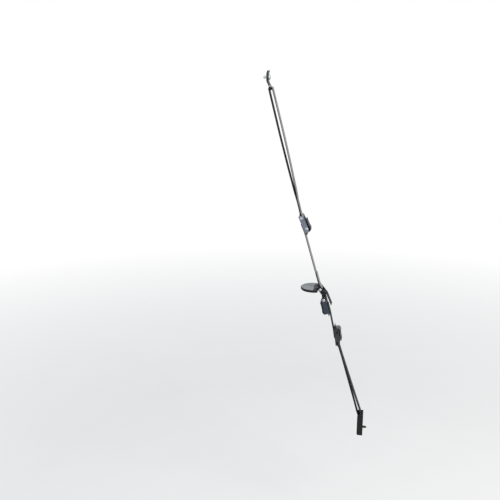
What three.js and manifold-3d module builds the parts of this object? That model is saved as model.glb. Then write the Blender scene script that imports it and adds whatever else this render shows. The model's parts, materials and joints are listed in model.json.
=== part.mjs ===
// Furniture anti tip strap.
// From top to bottom: a screwed tab, a webbing loop, a cam buckle, a webbing down to a round plate with an
// adhesive pad, a second cam buckle below it, a webbing, a third cam buckle and a webbing loop to a screwed
// channel. Millimetres, +Z up, +X to the rear, Y across the webbing.
// The origin is on the pad's underside, below the middle of the round plate.

import * as THREE from "three";
import { mergeVertices } from "three/addons/utils/BufferGeometryUtils.js";
import Module from "manifold-3d";

const wasm = await Module();
wasm.setup();

// Clearances
const SEAT_GAP = 0.3; // between pieces that touch
const SIDE_GAP = 1.5; // from the webbing's edge to the cheek beside it
const LEVER_SIDE_GAP = 0.9; // from the lever to each cheek

// Webbing
const WEBBING_WIDTH = 20;
const WEBBING_THICKNESS = 1.5;
const SEWN_LENGTH = 26; // where two layers are stitched together
const EYE_TAPER = 3.4; // how far an eye runs to a point, in eye radii
const LAYER_BITE = 0.06; // how far two stitched layers sink into each other
const END_ROUNDING = 0.95; // corner radius at a loop's far end, in half widths of that end
const TAIL_LENGTH = 6; // webbing left over past a buckle's jaw
const EXIT_BEND = 12; // radius of the bend where webbing leaves a buckle

// Riveted pins
const PIN_DIAMETER = 4;
const HEAD_DIAMETER = 6;
const HEAD_HEIGHT = 1.1;
const PIN_SIDES = 24;
const SAME_POINT = 1e-4; // points nearer than this are one point

// Cam buckle, measured from the end that holds the sewn eye
const BUCKLE_LENGTH = 38;
const BUCKLE_WALL = 1.5;
const CHEEK_HEIGHT = 10.4;
const CHEEK_END_HEIGHT = 9.6;
const CHEEK_CORNER = 3;
const LOOP_PIN_ALONG = 5.5;
const LOOP_PIN_HEIGHT = 4.6;
const CAM_PIN_FROM_JAW = 7.5;
const CAM_PIN_HEIGHT = 7.5;
const SLOT_LENGTH = 5;
const SLOT_BRIDGE = 4; // solid base between the eye and the slot

// Cam lever
const LEVER_PLATE = 1.6;
const LEVER_STANDOFF = 1.9; // from the cheeks to the thumb plate's underside
const THUMB_GAP = 1.4; // from the eye to the thumb plate's end, so that the lever can swing
const LEVER_BULGE = 1.2; // how far the nose stands above the thumb plate
const NOSE_OVERHANG = 0.8; // how far the nose reaches past the jaw
const THUMB_LIP = 0.5;
const LIP_RUN = 3;
const NOSE_BEND = 4;
const FOOT_HEIGHT = 2.6;
const FOOT_LENGTH = 5.2;
const WEB_SHARE = 0.6; // how far the web reaches behind the pin, in barrel radii
const BARREL_WALL = 1.6;
const BARREL_WIDTH = 11;
const TOOTH_PITCH = 1.6;
const TOOTH_DEPTH = 0.7;

// Torsion spring on the cam pin
const WIRE_DIAMETER = 0.9;
const SPRING_TURNS = 2.5;
const WIRE_PITCH = 1.15;
const SPRING_LEG = 4;
const STEPS_PER_TURN = 16;
const LEG_STEPS = 8;
const WIRE_SIDES = 8;

// Round plate
const PLATE_RADIUS = 28;
const PLATE_THICKNESS = 3.2;
const REAR_EDGE = 10.8; // from the plate's middle to its straight rear edge
const PAD_THICKNESS = 1.2;
const PAD_INSET = 0.8;
const COVER_THICKNESS = 0.8;
const COVER_INSET = 1.4;
const EYE_TO_EDGE = 1; // from the rear edge to the webbing's eye
const LUG_WALL = 2;
const LUG_RADIUS = 4.2;
const LUG_ROOT = 8; // length of lug that lies along the plate
const LOWER_PIN_BACK = 6.8; // from the upper plate pin to the lower one, backwards
const LOWER_PIN_DROP = 8.8; // and down
const DISC_STEPS = 40;

// Upper bracket
const TAB_WALL = 2;
const TAB_FLAT = 15;
const TAB_LIP_RISE = 6; // the tab's top leans away from its mounting face
const TAB_LIP_LEAN = 1.8;
const TAB_SLOPE = 18.5;
const TAB_SLOPE_ANGLE = 25;
const TAB_CORNER = 4;
const END_BAR = 4; // height of the bar under the tab's slot
const TAB_SLOT = 4.8;
const TAB_SCREW_DROP = 7.5; // from the flat's top to its screw

// Lower bracket
const WALL_BRACKET_HEIGHT = 50;
const WALL_BRACKET_DEPTH = 13;
const WALL_BRACKET_WALL = 2;
const WALL_BRACKET_CORNER = 4;
const WALL_PIN_DROP = 6.2; // from the bracket's top to its pin
const WALL_SCREW_RISE = 15; // from the bracket's bottom to its screw
const RIB_HEIGHT = 2.4;
const RIB_PROUD = 0.7;

// Screws
const TV_SCREW_DIAMETER = 6;
const TV_SCREW_LENGTH = 12;
const WALL_SCREW_DIAMETER = 5;
const WALL_SCREW_LENGTH = 12;
const SCREW_HOLE_GAP = 0.35;
const HEAD_TO_SHANK = 1.9; // head diameter over shank diameter
const SCREW_HEAD_HEIGHT = 3.2;
const SOCKET_DEPTH = 1.8;
const SOCKET_TO_SHANK = 0.55;
const SCREW_POINT = 2;
const WASHER_THICKNESS = 1.2;
const WASHER_TO_SHANK = 2.1;

// Where the pieces hang: X and Z of the point, and the tilt from upright in degrees
const UPPER_BUCKLE = { x: -35.2, z: 162.6, tilt: 23 };
const PLATE_BUCKLE = { x: 26.8, z: -14.2, tilt: 15.5 };
const LOWER_BUCKLE = { x: 53, z: -124.7, tilt: 9 };
const TV_LOOP_TOP = { x: -97.6, z: 427 };
const WALL_LOOP_END = { x: 112.4, z: -294.2 };
const HANGER_TAIL = 27;
const HANGER_TAIL_TILT = 23;

// Half width of the upper loop's centre line along its length, as share of the length and millimetres
const UPPER_LOOP_BULGE = [
  [0.21, 2],
  [0.4, 3.3],
  [0.66, 4.2],
];
const UPPER_LOOP_END = 3.9;
const LOWER_LOOP_BULGE = [
  [0.78, 2.8],
  [0.93, 3.6],
];

const eyeRadius = PIN_DIAMETER / 2 + SEAT_GAP + WEBBING_THICKNESS / 2;
const layerOffset = WEBBING_THICKNESS / 2 - LAYER_BITE;
const innerWidth = WEBBING_WIDTH + 2 * SIDE_GAP;
const frameWidth = innerWidth + 2 * BUCKLE_WALL;
const tabWidth = frameWidth;
const plateBottom = PAD_THICKNESS + SEAT_GAP;
const plateTop = plateBottom + PLATE_THICKNESS;
const camPinAlong = BUCKLE_LENGTH - CAM_PIN_FROM_JAW;
const slotStart = LOOP_PIN_ALONG + eyeRadius + WEBBING_THICKNESS / 2 + SEAT_GAP + SLOT_BRIDGE;
const slotEnd = slotStart + SLOT_LENGTH;

const strap = new THREE.Group();

const nylon = new THREE.MeshStandardMaterial({ color: 0x17181a, roughness: 0.85, metalness: 0 });
const blackSteel = new THREE.MeshStandardMaterial({ color: 0x202227, roughness: 0.5, metalness: 0.4 });
const slateSteel = new THREE.MeshStandardMaterial({ color: 0x6c7180, roughness: 0.45, metalness: 0.5 });
const navySteel = new THREE.MeshStandardMaterial({ color: 0x343a46, roughness: 0.45, metalness: 0.5 });
const brightSteel = new THREE.MeshStandardMaterial({ color: 0xc8cacc, roughness: 0.25, metalness: 1 });
const greySatin = new THREE.MeshStandardMaterial({ color: 0x7d8484, roughness: 0.55, metalness: 0.1 });
const foam = new THREE.MeshStandardMaterial({ color: 0x2a2a2a, roughness: 0.95, metalness: 0 });

// A geometry as a solid with shared corners
function solid(geometry) {
  const bare = geometry.clone();
  bare.deleteAttribute("normal");
  bare.deleteAttribute("uv");
  const merged = mergeVertices(bare, 1e-4);
  const vertProperties = new Float32Array(merged.attributes.position.array);
  const triVerts = new Uint32Array(merged.index.array);
  return new wasm.Manifold(new wasm.Mesh({ numProp: 3, vertProperties, triVerts }));
}

// A solid as a geometry with flat faces
function geometryOf(body) {
  const mesh = body.getMesh();
  const points = new Float32Array(mesh.numVert * 3);
  for (let i = 0; i < mesh.numVert; i++) {
    points.set(mesh.vertProperties.subarray(i * mesh.numProp, i * mesh.numProp + 3), i * 3);
  }
  const geometry = new THREE.BufferGeometry();
  geometry.setAttribute("position", new THREE.BufferAttribute(points, 3));
  geometry.setIndex(new THREE.BufferAttribute(new Uint32Array(mesh.triVerts), 1));
  const flat = geometry.toNonIndexed();
  flat.computeVertexNormals();
  return flat;
}

function joined(bodies) {
  return bodies.reduce((sum, body) => sum.add(body));
}

function addPiece(parent, name, body, material) {
  const mesh = new THREE.Mesh(geometryOf(body), material);
  mesh.name = name;
  parent.add(mesh);
  return mesh;
}

// Turns corners, each with a radius, into points with an arc at each corner
function rounded(corners, closed) {
  const points = [];
  const count = corners.length;
  const put = (point) => {
    const last = points[points.length - 1];
    if (!last || last.distanceTo(point) > SAME_POINT) points.push(point);
  };
  corners.forEach(([x, z, radius = 0], i) => {
    const corner = new THREE.Vector2(x, z);
    const isEnd = !closed && (i === 0 || i === count - 1);
    if (isEnd || radius === 0) {
      put(corner);
      return;
    }
    const before = new THREE.Vector2(...corners[(i - 1 + count) % count].slice(0, 2));
    const after = new THREE.Vector2(...corners[(i + 1) % count].slice(0, 2));
    const into = corner.clone().sub(before).normalize();
    const out = after.clone().sub(corner).normalize();
    const turn = Math.atan2(into.cross(out), into.dot(out));
    const reach = radius * Math.tan(Math.abs(turn) / 2);
    const side = Math.sign(turn);
    const start = corner.clone().addScaledVector(into, -reach);
    const centre = start.clone().add(new THREE.Vector2(-into.y, into.x).multiplyScalar(side * radius));
    const steps = Math.max(1, Math.ceil(Math.abs(turn) / (Math.PI / 9)));
    for (let k = 0; k <= steps; k++) {
      put(start.clone().rotateAround(centre, (turn * k) / steps));
    }
  });
  return points;
}

// An outline in X and Z with its holes, given width along Y
function slab(points, width, y = 0, holes = []) {
  const shape = new THREE.Shape(points);
  shape.holes = holes.map((hole) => new THREE.Path(hole));
  const geometry = new THREE.ExtrudeGeometry(shape, { depth: width, bevelEnabled: false });
  geometry.translate(0, 0, -width / 2);
  geometry.rotateX(Math.PI / 2);
  geometry.translate(0, y, 0);
  return solid(geometry);
}

// An outline in X and Y, given height along Z
function plate(points, bottom, height) {
  const geometry = new THREE.ExtrudeGeometry(new THREE.Shape(points), { depth: height, bevelEnabled: false });
  geometry.translate(0, 0, bottom);
  return solid(geometry);
}

function box(x0, x1, y0, y1, z0, z1) {
  const geometry = new THREE.BoxGeometry(x1 - x0, y1 - y0, z1 - z0);
  geometry.translate((x0 + x1) / 2, (y0 + y1) / 2, (z0 + z1) / 2);
  return solid(geometry);
}

// A round profile of [radius, place] pairs about an axis along Y
function turnedAlongY(profile, x, z) {
  const geometry = new THREE.LatheGeometry(profile.map(([r, y]) => new THREE.Vector2(r, y)), PIN_SIDES);
  geometry.translate(x, 0, z);
  return solid(geometry);
}

// A round profile of [radius, place] pairs about an axis along X, from x in the direction given
function turnedAlongX(profile, x, z, direction) {
  const geometry = new THREE.LatheGeometry(profile.map(([r, y]) => new THREE.Vector2(r, y)), PIN_SIDES);
  geometry.rotateZ(direction > 0 ? -Math.PI / 2 : Math.PI / 2);
  geometry.translate(x, 0, z);
  return solid(geometry);
}

function pinHole(x, z, diameter) {
  const reach = frameWidth;
  return turnedAlongY([[0, -reach], [diameter / 2, -reach], [diameter / 2, reach], [0, reach]], x, z);
}

// A pin through two walls, with a rivet head on each side
function rivetedPin(x, z, outerWidth) {
  const half = outerWidth / 2 + SEAT_GAP;
  const end = half + HEAD_HEIGHT;
  const shank = PIN_DIAMETER / 2;
  const head = HEAD_DIAMETER / 2;
  const crown = head * 0.65;
  return turnedAlongY(
    [[0, -end], [crown, -end], [head, -half - HEAD_HEIGHT * 0.4], [head, -half], [shank, -half],
      [shank, half], [head, half], [head, half + HEAD_HEIGHT * 0.4], [crown, end], [0, end]],
    x, z,
  );
}

// The outline of a band of even thickness along a centre line
function bandOutline(corners, thickness) {
  const line = rounded(corners, false);
  const half = thickness / 2;
  const left = [];
  const right = [];
  line.forEach((point, i) => {
    const before = line[Math.max(i - 1, 0)];
    const after = line[Math.min(i + 1, line.length - 1)];
    const into = point.clone().sub(before).normalize();
    const out = after.clone().sub(point).normalize();
    const first = i === 0 ? out : into;
    const second = i === line.length - 1 ? into : out;
    const across = new THREE.Vector2(-first.y - second.y, first.x + second.x).normalize();
    const stretch = half / Math.max(across.dot(new THREE.Vector2(-first.y, first.x)), 0.5);
    left.push(point.clone().addScaledVector(across, stretch));
    right.unshift(point.clone().addScaledVector(across, -stretch));
  });
  return [...left, ...right];
}

// A centre line as a band of its thickness and width
function ribbon(corners, thickness = WEBBING_THICKNESS, width = WEBBING_WIDTH) {
  return slab(bandOutline(corners, thickness), width);
}

// Turns places along and across the line between two points into X and Z
function between(from, to) {
  const start = new THREE.Vector2(from.x, from.z);
  const along = new THREE.Vector2(to.x, to.z).sub(start);
  const length = along.length();
  along.normalize();
  const across = new THREE.Vector2(-along.y, along.x);
  const at = (s, w, radius = 0) => {
    const p = start.clone().addScaledVector(along, s).addScaledVector(across, w);
    return [p.x, p.y, radius];
  };
  return { at, length };
}

// A closed band of webbing that is the same on both sides of a line, from the corners of one side, which are
// places along and across the line. Holes are left wherever its two sides stand apart. The last corner only
// closes the far end, so its own point is left out.
function closedBand(at, corners) {
  const half = bandOutline(corners, WEBBING_THICKNESS);
  const count = half.length / 2;
  const outer = half.slice(0, count - 1);
  const inner = half.slice(count + 1).reverse();
  outer[0].setY(0);
  inner[0].setY(0);
  const holes = [];
  let isOpen = false;
  for (const point of inner) {
    const isApart = point === inner[0] || point.y > LAYER_BITE;
    if (isApart && !isOpen) holes.push([]);
    if (isApart) holes[holes.length - 1].push(point);
    isOpen = isApart;
  }
  const bothSides = (side) => {
    const mirrored = side.filter((point) => point.y > 0).map(({ x, y }) => new THREE.Vector2(x, -y));
    const around = [...mirrored, ...[...side].reverse()];
    return around.map(({ x, y }) => new THREE.Vector2(...at(x, y).slice(0, 2)));
  };
  return slab(bothSides(outer), WEBBING_WIDTH, 0, holes.map(bothSides));
}

// Half of the eye round a pin, from behind the pin to where its layers meet
function eyeHalf(at, side) {
  const r = eyeRadius;
  return [
    at(-r, -side * SEAT_GAP),
    at(-r, side * r, r),
    at(r, side * r, r),
    at(EYE_TAPER * r, side * layerOffset, 2 * r),
  ];
}

// A buckle's group, and a function that turns its own places into X and Z
function buckleGroup(place, turnedRound, upsideDown) {
  const group = new THREE.Group();
  group.position.set(place.x, 0, place.z);
  group.rotation.y = THREE.MathUtils.degToRad(-place.tilt);
  const turned = new THREE.Group();
  turned.rotation.z = turnedRound ? Math.PI : 0;
  turned.rotation.x = upsideDown ? Math.PI : 0;
  group.add(turned);
  strap.add(group);
  strap.updateMatrixWorld(true);
  const at = (along, height, radius = 0) => {
    const p = new THREE.Vector3(height, 0, -along).applyMatrix4(turned.matrixWorld);
    return [p.x, p.z, radius];
  };
  const loopPin = at(LOOP_PIN_ALONG, LOOP_PIN_HEIGHT);
  return { group: turned, at, loopPin: { x: loopPin[0], z: loopPin[1] } };
}

// In a buckle's own frame, X is the height above the base and Z runs back from the eye end
function buckleFrame() {
  const cheek = rounded(
    [
      [0, 0],
      [CHEEK_END_HEIGHT, 0, CHEEK_CORNER],
      [CHEEK_HEIGHT, -camPinAlong + 2 * CAM_PIN_FROM_JAW, CHEEK_CORNER],
      [CHEEK_HEIGHT, -BUCKLE_LENGTH, CHEEK_CORNER],
      [0, -BUCKLE_LENGTH],
    ],
    true,
  );
  const cheekY = (innerWidth + BUCKLE_WALL) / 2;
  const baseStart = slotStart - SLOT_BRIDGE;
  const baseHalf = innerWidth / 2 + BUCKLE_WALL / 2;
  const slotHalf = innerWidth / 2 - SEAT_GAP;
  const base = box(0, BUCKLE_WALL, -baseHalf, baseHalf, -BUCKLE_LENGTH, -baseStart);
  const slot = box(-BUCKLE_WALL, 2 * BUCKLE_WALL, -slotHalf, slotHalf, -slotEnd, -slotStart);
  return joined([slab(cheek, BUCKLE_WALL, -cheekY), slab(cheek, BUCKLE_WALL, cheekY), base])
    .subtract(slot)
    .subtract(pinHole(LOOP_PIN_HEIGHT, -LOOP_PIN_ALONG, PIN_DIAMETER + 2 * SEAT_GAP))
    .subtract(pinHole(CAM_PIN_HEIGHT, -camPinAlong, PIN_DIAMETER + 2 * SEAT_GAP));
}

function buckleLever() {
  const width = innerWidth - 2 * LEVER_SIDE_GAP;
  const middle = CHEEK_HEIGHT + LEVER_STANDOFF + LEVER_PLATE / 2;
  const thumbEnd = LOOP_PIN_ALONG + eyeRadius + WEBBING_THICKNESS / 2 + THUMB_GAP;
  const noseEnd = BUCKLE_LENGTH + NOSE_OVERHANG;
  const jawFloor = BUCKLE_WALL + 2 * SEAT_GAP + WEBBING_THICKNESS;
  // The plate from its thumb lip over the top and down to the nose
  const bentPlate = ribbon(
    [
      [middle + THUMB_LIP, -thumbEnd],
      [middle, -thumbEnd - LIP_RUN, LIP_RUN],
      [middle, -camPinAlong + NOSE_BEND, 2 * NOSE_BEND],
      [middle + LEVER_BULGE, -camPinAlong - LEVER_PLATE, NOSE_BEND],
      [middle - LEVER_BULGE, -noseEnd + LEVER_PLATE / 2, NOSE_BEND / 2],
      [jawFloor + LEVER_PLATE, -noseEnd + LEVER_PLATE / 2],
    ],
    LEVER_PLATE,
    width,
  );
  const foot = slab(
    rounded(
      [
        [jawFloor, -noseEnd],
        [jawFloor + FOOT_HEIGHT, -noseEnd],
        [jawFloor + FOOT_HEIGHT, -noseEnd + FOOT_LENGTH, LEVER_PLATE],
        [jawFloor, -noseEnd + FOOT_LENGTH],
      ].reverse(),
      true,
    ),
    width,
  );
  const barrel = PIN_DIAMETER / 2 + SEAT_GAP + BARREL_WALL;
  const barrelHalf = BARREL_WIDTH / 2;
  const tube = turnedAlongY(
    [[0, -barrelHalf], [barrel, -barrelHalf], [barrel, barrelHalf], [0, barrelHalf]],
    CAM_PIN_HEIGHT, -camPinAlong,
  );
  // The web that ties the barrel to the plate above it and to the foot
  const webRear = -camPinAlong + barrel * WEB_SHARE;
  const web = box(CAM_PIN_HEIGHT, middle, -barrelHalf, barrelHalf, -noseEnd + LEVER_PLATE / 2, webRear);
  const toothHalf = TOOTH_DEPTH;
  const grooves = [];
  for (let z = -noseEnd + TOOTH_PITCH / 2; z < -noseEnd + FOOT_LENGTH - toothHalf; z += TOOTH_PITCH) {
    const groove = [
      new THREE.Vector2(jawFloor + TOOTH_DEPTH, z),
      new THREE.Vector2(jawFloor - TOOTH_DEPTH, z + 2 * toothHalf),
      new THREE.Vector2(jawFloor - TOOTH_DEPTH, z - 2 * toothHalf),
    ];
    grooves.push(slab(groove, width + LEVER_PLATE));
  }
  const body = joined([bentPlate, foot, tube, web]);
  return grooves
    .reduce((left, groove) => left.subtract(groove), body)
    .subtract(pinHole(CAM_PIN_HEIGHT, -camPinAlong, PIN_DIAMETER + 2 * SEAT_GAP));
}

// The wire: one leg along the base, turns round the pin, one leg under the lever
class SpringWire extends THREE.Curve {
  getPoint(t) {
    const radius = PIN_DIAMETER / 2 + SEAT_GAP + WIRE_DIAMETER / 2;
    const turnLength = 2 * Math.PI * radius * SPRING_TURNS;
    const total = turnLength + 2 * SPRING_LEG;
    const travelled = t * total;
    const start = (BARREL_WIDTH + WIRE_DIAMETER) / 2 + SEAT_GAP;
    const span = SPRING_TURNS * WIRE_PITCH;
    const turned = Math.min(Math.max(travelled - SPRING_LEG, 0), turnLength);
    const angle = Math.PI + turned / radius;
    const before = Math.max(SPRING_LEG - travelled, 0);
    const after = Math.max(travelled - SPRING_LEG - turnLength, 0);
    const reach = before > 0 ? -before : after;
    return new THREE.Vector3(
      CAM_PIN_HEIGHT + radius * Math.cos(angle) - reach * Math.sin(angle),
      start + (span * turned) / turnLength,
      -camPinAlong + radius * Math.sin(angle) + reach * Math.cos(angle),
    );
  }
}

function buckleSpring() {
  const section = new THREE.Shape();
  section.absarc(0, 0, WIRE_DIAMETER / 2, 0, 2 * Math.PI);
  const geometry = new THREE.ExtrudeGeometry(section, {
    steps: Math.round(STEPS_PER_TURN * SPRING_TURNS) + LEG_STEPS,
    curveSegments: WIRE_SIDES / 2,
    extrudePath: new SpringWire(),
  });
  return solid(geometry);
}

function addBuckle(prefix, place, turnedRound, upsideDown, coats) {
  const buckle = buckleGroup(place, turnedRound, upsideDown);
  addPiece(buckle.group, prefix + "_frame", buckleFrame(), coats.frame);
  const loopPin = rivetedPin(LOOP_PIN_HEIGHT, -LOOP_PIN_ALONG, frameWidth);
  addPiece(buckle.group, prefix + "_loop_pin", loopPin, coats.loopPin);
  const camPin = rivetedPin(CAM_PIN_HEIGHT, -camPinAlong, frameWidth);
  addPiece(buckle.group, prefix + "_cam_pin", camPin, coats.camPin);
  addPiece(buckle.group, prefix + "_lever", buckleLever(), coats.lever);
  addPiece(buckle.group, prefix + "_spring", buckleSpring(), brightSteel);
  return buckle;
}

// Webbing threaded through a buckle: a tail past the jaw, over the base, round the slot's edge and out below
function threaded(buckle) {
  const above = BUCKLE_WALL + SEAT_GAP + WEBBING_THICKNESS / 2;
  const below = -SEAT_GAP - WEBBING_THICKNESS / 2;
  const turn = (above - below) / 2;
  return [
    buckle.at(BUCKLE_LENGTH + TAIL_LENGTH, above),
    buckle.at(slotEnd - turn, above, turn),
    buckle.at(slotEnd - turn, below, turn),
    buckle.at(BUCKLE_LENGTH, below, EXIT_BEND),
  ];
}

// Webbing that comes down a line and is stitched into an eye at the line's start
function stitchedEye(at) {
  const inner = eyeHalf(at, -1);
  const returning = [...inner, at(EYE_TAPER * eyeRadius + SEWN_LENGTH, -layerOffset)];
  return { outer: eyeHalf(at, 1), returning: ribbon(returning) };
}

const upperCoats = { frame: slateSteel, lever: blackSteel, loopPin: brightSteel, camPin: brightSteel };
const plateCoats = { frame: navySteel, lever: navySteel, loopPin: brightSteel, camPin: navySteel };
const lowerCoats = { frame: blackSteel, lever: blackSteel, loopPin: blackSteel, camPin: blackSteel };
const upperBuckle = addBuckle("upper_buckle", UPPER_BUCKLE, false, false, upperCoats);
const plateBuckle = addBuckle("plate_buckle", PLATE_BUCKLE, true, false, plateCoats);
const lowerBuckle = addBuckle("lower_buckle", LOWER_BUCKLE, false, true, lowerCoats);

// Loop between two ends: stitched next to the buckle, then opening towards the bracket
function loopWebbing(pin, end, endRadius, bulge) {
  const { at, length } = between(pin, end);
  const r = eyeRadius;
  return closedBand(at, [
    [-r, 0],
    [-r, r, r],
    [r, r, r],
    [EYE_TAPER * r, layerOffset, 2 * r],
    [EYE_TAPER * r + SEWN_LENGTH, layerOffset, length / 6],
    ...bulge.map(([share, half]) => [share * length, half, length / 6]),
    [length + endRadius, endRadius, END_ROUNDING * endRadius],
    [length + endRadius, 0],
  ]);
}

const upperLoop = loopWebbing(upperBuckle.loopPin, TV_LOOP_TOP, UPPER_LOOP_END, UPPER_LOOP_BULGE);
addPiece(strap, "upper_loop_webbing", upperLoop, nylon);

const lowerLoop = loopWebbing(lowerBuckle.loopPin, WALL_LOOP_END, eyeRadius, LOWER_LOOP_BULGE);
addPiece(strap, "lower_loop_webbing", lowerLoop, nylon);

// The plate's two pins
const platePin = {
  x: REAR_EDGE + eyeRadius + WEBBING_THICKNESS / 2 + EYE_TO_EDGE,
  z: plateBottom + PLATE_THICKNESS / 2,
};
const hangerPin = { x: platePin.x + LOWER_PIN_BACK, z: platePin.z - LOWER_PIN_DROP };

// Middle webbing, from the upper buckle's jaw to its eye on the plate's upper pin
const upperExit = upperBuckle.at(BUCKLE_LENGTH, -SEAT_GAP - WEBBING_THICKNESS / 2);
const middleLine = between(platePin, { x: upperExit[0], z: upperExit[1] });
const middleEye = stitchedEye(middleLine.at);
const middleMain = ribbon([...threaded(upperBuckle), ...middleEye.outer.reverse()]);
addPiece(strap, "middle_webbing", joined([middleMain, middleEye.returning]), nylon);

// Lower webbing, between the jaws of the two lower buckles
const lowerMain = ribbon([...threaded(plateBuckle), ...threaded(lowerBuckle).reverse()]);
addPiece(strap, "lower_webbing", lowerMain, nylon);

// Hanger webbing: a short closed loop from the plate's lower pin to the plate buckle, with a free tail behind
function hangerWebbing() {
  const { at, length } = between(plateBuckle.loopPin, hangerPin);
  const r = eyeRadius;
  const loop = closedBand(at, [
    [-r, 0],
    [-r, r, r],
    [length + r, r, END_ROUNDING * r],
    [length + r, 0],
  ]);
  const tilt = THREE.MathUtils.degToRad(HANGER_TAIL_TILT);
  const bend = { x: hangerPin.x + 2.4 * r, z: hangerPin.z + r - WEBBING_THICKNESS };
  const tail = ribbon([
    [hangerPin.x, hangerPin.z + r],
    [hangerPin.x + r, hangerPin.z + r, r],
    [bend.x, bend.z - r, 2 * r],
    [bend.x + HANGER_TAIL * Math.sin(tilt), bend.z - r - HANGER_TAIL * Math.cos(tilt)],
  ]);
  return joined([loop, tail]);
}
addPiece(strap, "hanger_webbing", hangerWebbing(), nylon);

// A round plate with a straight rear edge
function plateOutline(radius, rear) {
  const corner = Math.acos(rear / radius);
  const points = [];
  for (let i = 0; i <= DISC_STEPS; i++) {
    const angle = corner + ((2 * Math.PI - 2 * corner) * i) / DISC_STEPS;
    points.push([radius * Math.cos(angle), radius * Math.sin(angle)]);
  }
  return points.map(([x, y]) => new THREE.Vector2(x, y));
}

// One of the two lugs that carry the pins behind the plate's rear edge
function plateLug(y) {
  const neck = bandOutline([[platePin.x, platePin.z], [hangerPin.x, hangerPin.z]], 2 * LUG_RADIUS);
  const root = rounded(
    [
      [REAR_EDGE - LUG_ROOT, plateBottom],
      [platePin.x, plateBottom],
      [platePin.x, platePin.z + LUG_RADIUS],
      [REAR_EDGE, platePin.z + LUG_RADIUS, LUG_RADIUS],
      [REAR_EDGE - LUG_ROOT, plateTop - SEAT_GAP],
    ],
    true,
  );
  const half = LUG_WALL / 2;
  const ends = [platePin, hangerPin].map((pin) => turnedAlongY(
    [[0, y - half], [LUG_RADIUS, y - half], [LUG_RADIUS, y + half], [0, y + half]],
    pin.x, pin.z,
  ));
  return joined([slab(root, LUG_WALL, y), slab(neck, LUG_WALL, y), ...ends]);
}

function furniturePlate() {
  const body = plate(plateOutline(PLATE_RADIUS, REAR_EDGE), plateBottom, PLATE_THICKNESS);
  const lugY = (innerWidth + LUG_WALL) / 2;
  return joined([body, plateLug(-lugY), plateLug(lugY)])
    .subtract(pinHole(platePin.x, platePin.z, PIN_DIAMETER + 2 * SEAT_GAP))
    .subtract(pinHole(hangerPin.x, hangerPin.z, PIN_DIAMETER + 2 * SEAT_GAP));
}

addPiece(strap, "furniture_plate", furniturePlate(), blackSteel);
const lugsWidth = innerWidth + 2 * LUG_WALL;
addPiece(strap, "plate_upper_pin", rivetedPin(platePin.x, platePin.z, lugsWidth), brightSteel);
addPiece(strap, "plate_lower_pin", rivetedPin(hangerPin.x, hangerPin.z, lugsWidth), blackSteel);
const padOutline = plateOutline(PLATE_RADIUS - PAD_INSET, REAR_EDGE - PAD_INSET);
addPiece(strap, "plate_pad", plate(padOutline, 0, PAD_THICKNESS), foam);
const coverOutline = plateOutline(PLATE_RADIUS - COVER_INSET, REAR_EDGE - LUG_ROOT - COVER_INSET);
addPiece(strap, "plate_cover", plate(coverOutline, plateTop + SEAT_GAP, COVER_THICKNESS), greySatin);

// A pan head screw that starts under its head and runs in the direction given
function screw(x, z, diameter, length, direction) {
  const shank = diameter / 2;
  const head = shank * HEAD_TO_SHANK;
  const socket = shank * SOCKET_TO_SHANK;
  return turnedAlongX(
    [[0, -SCREW_HEAD_HEIGHT + SOCKET_DEPTH], [socket, -SCREW_HEAD_HEIGHT + SOCKET_DEPTH],
      [socket, -SCREW_HEAD_HEIGHT], [head * 0.6, -SCREW_HEAD_HEIGHT], [head * 0.92, -SCREW_HEAD_HEIGHT * 0.6],
      [head, -SCREW_HEAD_HEIGHT * 0.25], [head, 0], [shank, 0], [shank, length - SCREW_POINT],
      [shank * 0.5, length], [0, length]],
    x, z, direction,
  );
}

function washer(x, z, diameter, direction) {
  const bore = diameter / 2 + SCREW_HOLE_GAP;
  const outer = (diameter / 2) * WASHER_TO_SHANK;
  return turnedAlongX(
    [[bore, 0], [outer, 0], [outer, WASHER_THICKNESS], [bore, WASHER_THICKNESS], [bore, 0]],
    x, z, direction,
  );
}

function screwHole(x, z, diameter) {
  const reach = tabWidth;
  const radius = diameter / 2 + SCREW_HOLE_GAP;
  return turnedAlongX([[0, -reach], [radius, -reach], [radius, reach], [0, reach]], x, z, 1);
}

// Upper bracket: a flat tab, bent outwards below its screw, with a slot above its end bar
const barReach = UPPER_LOOP_END - WEBBING_THICKNESS / 2 - SEAT_GAP; // from the loop's middle to a bar corner
const barRise = Math.sqrt(barReach ** 2 - (TAB_WALL / 2) ** 2) - END_BAR / 2;
const slope = THREE.MathUtils.degToRad(TAB_SLOPE_ANGLE);
const barCentre = { x: TV_LOOP_TOP.x, z: TV_LOOP_TOP.z + barRise };
const tabBend = {
  x: barCentre.x - (TAB_SLOPE - END_BAR / 2) * Math.sin(slope),
  z: barCentre.z + (TAB_SLOPE - END_BAR / 2) * Math.cos(slope),
};
const tabTop = tabBend.z + TAB_FLAT;
const tvScrewZ = tabTop - TAB_SCREW_DROP;
const tabBack = tabBend.x - TAB_WALL / 2;

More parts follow.
